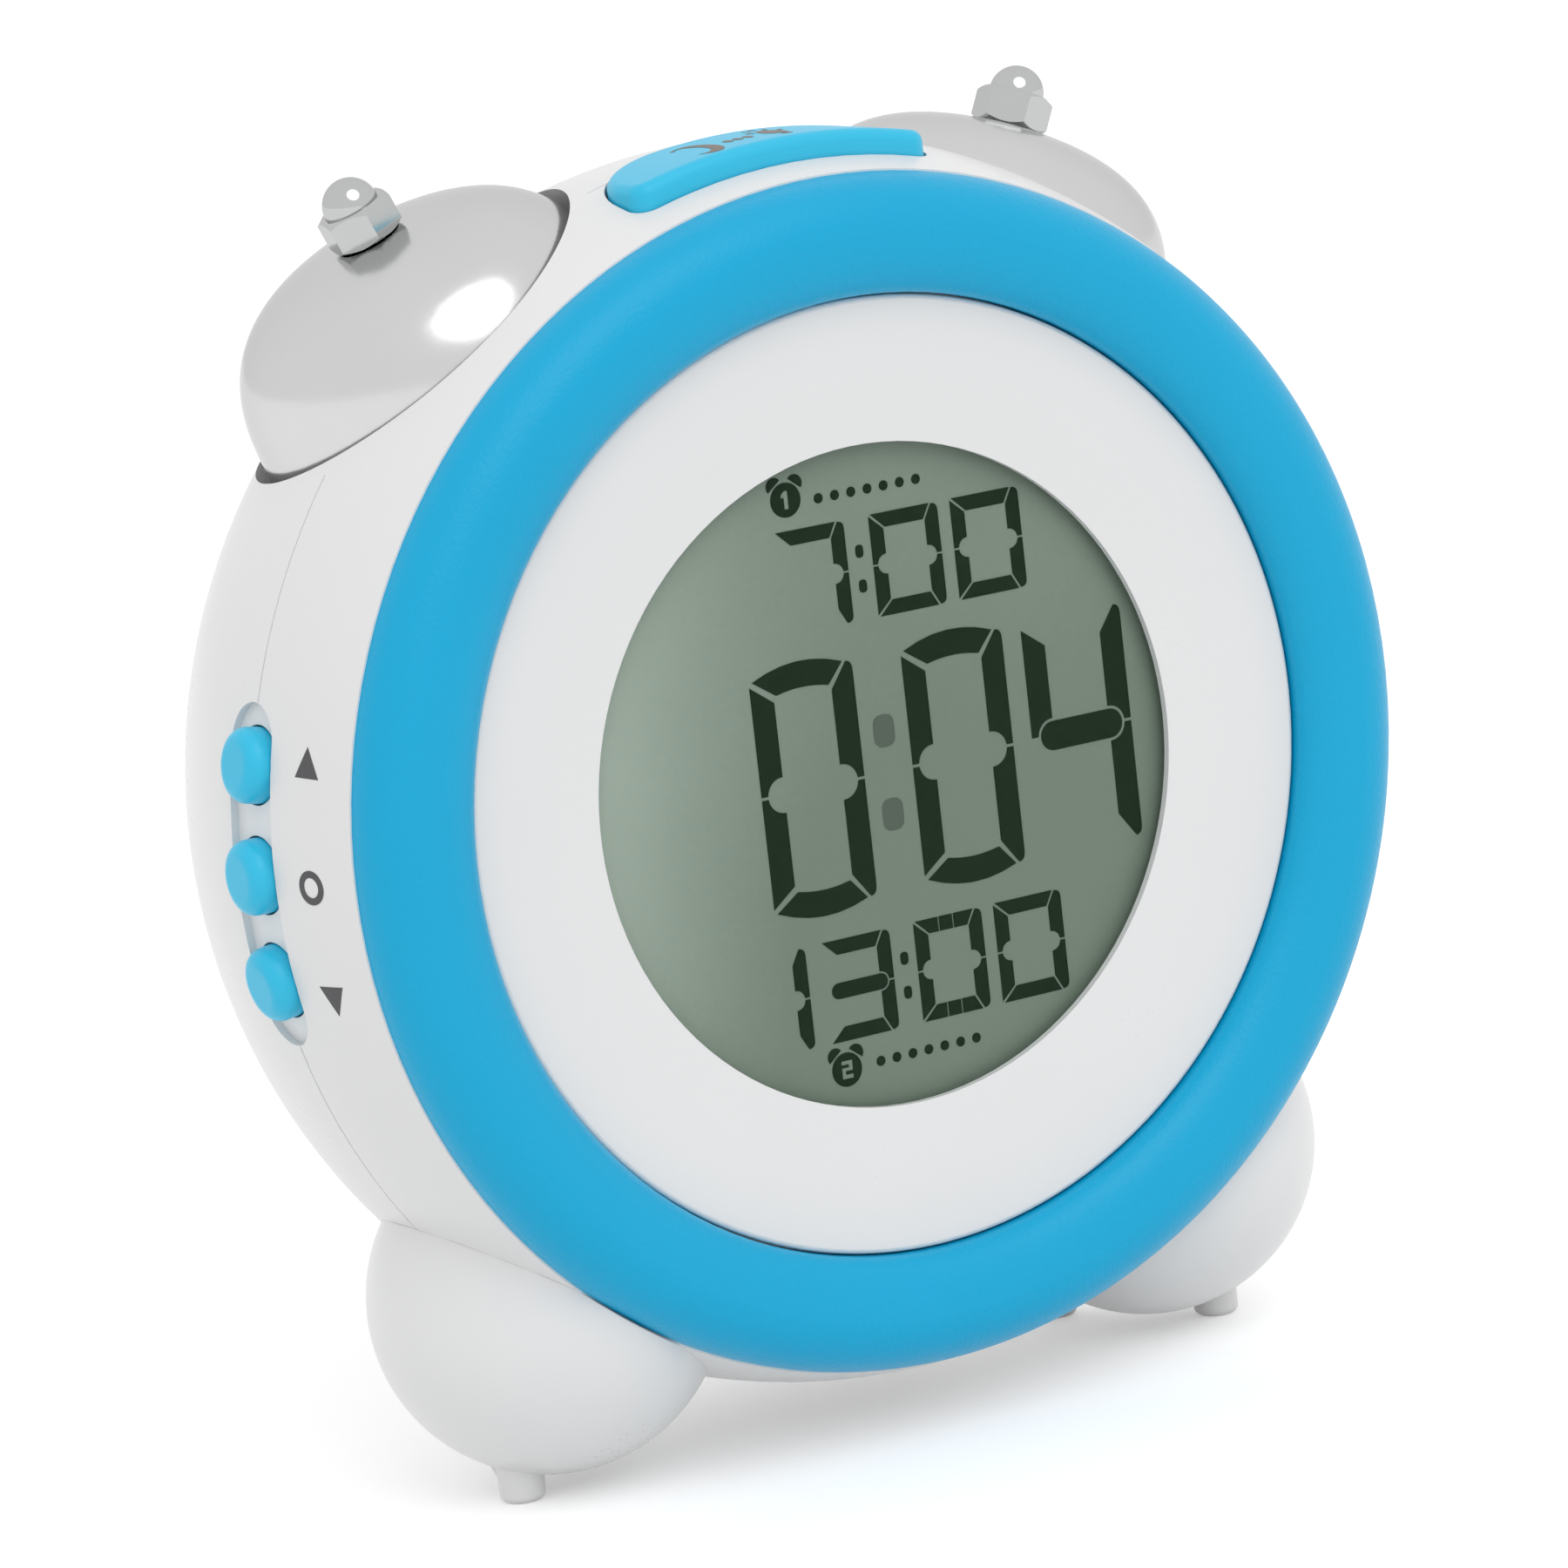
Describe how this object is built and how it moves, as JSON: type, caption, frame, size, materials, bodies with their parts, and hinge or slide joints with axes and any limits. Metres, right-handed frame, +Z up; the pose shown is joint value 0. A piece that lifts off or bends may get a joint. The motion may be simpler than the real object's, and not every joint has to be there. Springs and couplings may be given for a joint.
{
  "type": "alarm clock",
  "caption": "Round digital alarm clock with a lit display in a blue ring, two bells, a press bar on top, side push buttons and ball feet.",
  "frame": {"origin": "on the table under the middle of the clock, at the bottom centre of its bounding box", "axes": "+Z up, +Y from the display to the back, +X to the right seen from the front"},
  "size_m": [0.1284, 0.0534, 0.1326],
  "materials": {
    "white_case": "smooth satin moulded",
    "blue_plastic": "fine-grained satin moulded",
    "clear_window": "clear moulded window",
    "lcd_glass": "grey-green liquid crystal panel",
    "light_guide": "translucent diffusing",
    "frame_plastic": "moulded",
    "contact_rubber": "soft",
    "circuit_board": "solder mask",
    "black_resin": "moulded",
    "plated_steel": "bright plated",
    "bell_chrome": "satin to bright chrome",
    "cell_jacket": "plain sleeve",
    "red_wire": "insulated wire",
    "black_wire": "insulated wire"
  },
  "bodies": {
    "root": {"front_shell": "white_case", "rear_shell": "white_case", "foot_left": "white_case", "foot_right": "white_case", "dial_dish": "white_case", "bezel_ring": "blue_plastic", "display_window": "clear_window", "lcd_glass": "lcd_glass", "light_guide": "light_guide", "backlight_leds": "light_guide", "reflector_sheet": "frame_plastic", "lcd_frame": "frame_plastic", "zebra_strip": "contact_rubber", "main_board": "circuit_board", "controller_blob": "black_resin", "quartz_crystal": "plated_steel", "filter_capacitor": "black_resin", "wire_sockets": "frame_plastic", "tact_switches": "black_resin", "frame_screws": "plated_steel", "board_screws": "plated_steel", "case_screws": "plated_steel", "foot_screws": "plated_steel", "bell_left": "bell_chrome", "bell_right": "bell_chrome", "bell_spacers": "plated_steel", "bell_studs": "plated_steel", "lock_nuts": "bell_chrome", "cap_nuts": "bell_chrome", "batteries": "cell_jacket", "battery_plates": "plated_steel", "battery_springs": "plated_steel", "sounder_frame": "black_resin", "sounder_magnet": "plated_steel", "battery_lead_red": "red_wire", "battery_lead_black": "black_wire"},
    "button_up": {"button_up": "blue_plastic"},
    "button_set": {"button_set": "blue_plastic"},
    "button_down": {"button_down": "blue_plastic"},
    "snooze_bar": {"snooze_bar": "blue_plastic"},
    "battery_door": {"battery_door": "white_case"}
  },
  "joints": [
    {"name": "button_up_press", "type": "slide", "parent": "root", "child": "button_up", "axis": [0.9839, 0, -0.1788], "range_m": [0, 0.0008], "stiffness_N_per_m": 500, "springref_m": -0.0006},
    {"name": "button_set_press", "type": "slide", "parent": "root", "child": "button_set", "axis": [1, 0, -0.0061], "range_m": [0, 0.0008], "stiffness_N_per_m": 500, "springref_m": -0.0006},
    {"name": "button_down_press", "type": "slide", "parent": "root", "child": "button_down", "axis": [0.9864, 0, 0.1642], "range_m": [0, 0.0008], "stiffness_N_per_m": 500, "springref_m": -0.0006},
    {"name": "snooze_bar_press", "type": "slide", "parent": "root", "child": "snooze_bar", "axis": [0, 0, -1], "range_m": [0, 0.0014], "stiffness_N_per_m": 700, "springref_m": -0.001},
    {"name": "battery_door_swing", "type": "hinge", "parent": "root", "child": "battery_door", "pos_m": [0, 0.02665, 0.03005], "axis": [-1, 0, 0], "range_deg": [0, 90]}
  ]
}
